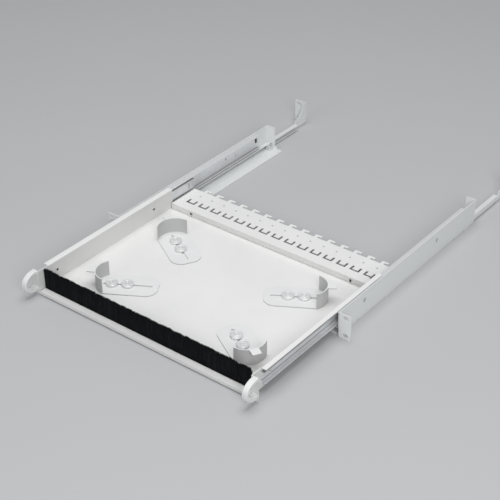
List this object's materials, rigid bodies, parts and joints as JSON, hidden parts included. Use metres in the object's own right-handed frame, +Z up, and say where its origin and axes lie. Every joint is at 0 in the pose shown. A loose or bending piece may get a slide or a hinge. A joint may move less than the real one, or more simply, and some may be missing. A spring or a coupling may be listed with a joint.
{
  "type": "rack cable slack drawer",
  "caption": "Sliding cable slack tray for a 19-inch rack, with movable bend guides, a comb bar at the rear, a brush strip at the front and rear depth arms.",
  "frame": {"origin": "centre of the four slots in the front ears, on the ears' front face", "axes": "+X right, +Y to the rear of the rack, +Z up"},
  "size_m": [0.4826, 0.7471, 0.0436],
  "materials": {
    "rails_paint": "light grey powder coat, fine texture",
    "tray_paint": "light grey powder coat, fine texture",
    "guide_paint": "light grey powder coat",
    "handle_paint": "light grey powder coat, smooth",
    "zinc": "zinc plated, slightly blue",
    "ball_steel": "polished bearing steel",
    "nut_zinc": "zinc plated",
    "bristle": "black fibres"
  },
  "bodies": {
    "rails": {"left_rail": "rails_paint", "right_rail": "rails_paint", "left_outer_slide": "zinc", "right_outer_slide": "zinc", "left_slide_rivets": "zinc", "right_slide_rivets": "zinc", "left_arm_clip": "zinc", "right_arm_clip": "zinc", "left_clip_screw": "zinc", "right_clip_screw": "zinc"},
    "drawer": {"tray": "tray_paint", "left_inner_slide": "zinc", "right_inner_slide": "zinc", "left_slide_screws": "zinc", "right_slide_screws": "zinc", "comb_bar": "tray_paint", "comb_screws": "zinc", "left_handle": "handle_paint", "right_handle": "handle_paint", "left_handle_screws": "zinc", "right_handle_screws": "zinc", "long_brush_channel": "tray_paint", "short_brush_channel": "tray_paint", "long_bristles": "bristle", "short_bristles": "bristle", "guide_studs": "zinc"},
    "left_cage": {"left_ball_cage": "zinc", "left_slide_balls": "ball_steel"},
    "right_cage": {"right_ball_cage": "zinc", "right_slide_balls": "ball_steel"},
    "left_arm": {"left_rear_arm": "rails_paint"},
    "right_arm": {"right_rear_arm": "rails_paint"},
    "guide_rear_left": {"guide_rear_left": "guide_paint"},
    "guide_rear_right": {"guide_rear_right": "guide_paint"},
    "guide_front_left": {"guide_front_left": "guide_paint"},
    "guide_front_right": {"guide_front_right": "guide_paint"},
    "nut_rear_left_inner": {"nut_rear_left_inner": "nut_zinc"},
    "nut_rear_left_outer": {"nut_rear_left_outer": "nut_zinc"},
    "nut_rear_right_inner": {"nut_rear_right_inner": "nut_zinc"},
    "nut_rear_right_outer": {"nut_rear_right_outer": "nut_zinc"},
    "nut_front_left_inner": {"nut_front_left_inner": "nut_zinc"},
    "nut_front_left_outer": {"nut_front_left_outer": "nut_zinc"},
    "nut_front_right_inner": {"nut_front_right_inner": "nut_zinc"},
    "nut_front_right_outer": {"nut_front_right_outer": "nut_zinc"}
  },
  "joints": [
    {"name": "drawer_slide", "type": "slide", "parent": "rails", "child": "drawer", "axis": [0, 1, 0], "range_m": [-0.1, 0.1935]},
    {"name": "left_cage_slide", "type": "slide", "parent": "rails", "child": "left_cage", "axis": [0, 1, 0], "range_m": [-0.05, 0.09675]},
    {"name": "right_cage_slide", "type": "slide", "parent": "rails", "child": "right_cage", "axis": [0, 1, 0], "range_m": [-0.05, 0.09675]},
    {"name": "left_arm_slide", "type": "slide", "parent": "rails", "child": "left_arm", "axis": [0, 1, 0], "range_m": [-0.07, 0.1]},
    {"name": "right_arm_slide", "type": "slide", "parent": "rails", "child": "right_arm", "axis": [0, 1, 0], "range_m": [-0.07, 0.1]},
    {"name": "guide_rear_left_slide", "type": "slide", "parent": "drawer", "child": "guide_rear_left", "axis": [-0.8599, 0.5105, 0], "range_m": [-0.0196, 0.0294]},
    {"name": "guide_rear_right_slide", "type": "slide", "parent": "drawer", "child": "guide_rear_right", "axis": [0.8599, 0.5105, 0], "range_m": [-0.023, 0.026]},
    {"name": "guide_front_left_slide", "type": "slide", "parent": "drawer", "child": "guide_front_left", "axis": [-0.8599, -0.5105, 0], "range_m": [-0.0116, 0.0374]},
    {"name": "guide_front_right_slide", "type": "slide", "parent": "drawer", "child": "guide_front_right", "axis": [0.8599, -0.5105, 0], "range_m": [-0.0315, 0.0175]},
    {"name": "nut_rear_left_inner_turn", "type": "hinge", "parent": "drawer", "child": "nut_rear_left_inner", "pos_m": [-0.10817, 0.02663, -0.0102], "axis": [0, 0, 1], "continuous": true},
    {"name": "nut_rear_left_outer_turn", "type": "hinge", "parent": "drawer", "child": "nut_rear_left_outer", "pos_m": [-0.12976, 0.03944, -0.0102], "axis": [0, 0, 1], "continuous": true},
    {"name": "nut_rear_right_inner_turn", "type": "hinge", "parent": "drawer", "child": "nut_rear_right_inner", "pos_m": [0.10817, 0.02663, -0.0102], "axis": [0, 0, 1], "continuous": true},
    {"name": "nut_rear_right_outer_turn", "type": "hinge", "parent": "drawer", "child": "nut_rear_right_outer", "pos_m": [0.12976, 0.03944, -0.0102], "axis": [0, 0, 1], "continuous": true},
    {"name": "nut_front_left_inner_turn", "type": "hinge", "parent": "drawer", "child": "nut_front_left_inner", "pos_m": [-0.10817, -0.10183, -0.0102], "axis": [0, 0, 1], "continuous": true},
    {"name": "nut_front_left_outer_turn", "type": "hinge", "parent": "drawer", "child": "nut_front_left_outer", "pos_m": [-0.12976, -0.11464, -0.0102], "axis": [0, 0, 1], "continuous": true},
    {"name": "nut_front_right_inner_turn", "type": "hinge", "parent": "drawer", "child": "nut_front_right_inner", "pos_m": [0.10817, -0.10183, -0.0102], "axis": [0, 0, 1], "continuous": true},
    {"name": "nut_front_right_outer_turn", "type": "hinge", "parent": "drawer", "child": "nut_front_right_outer", "pos_m": [0.12976, -0.11464, -0.0102], "axis": [0, 0, 1], "continuous": true}
  ],
  "couplings": [
    {"joint": "left_cage_slide", "follows": "drawer_slide", "ratio": 0.5},
    {"joint": "right_cage_slide", "follows": "drawer_slide", "ratio": 0.5}
  ]
}
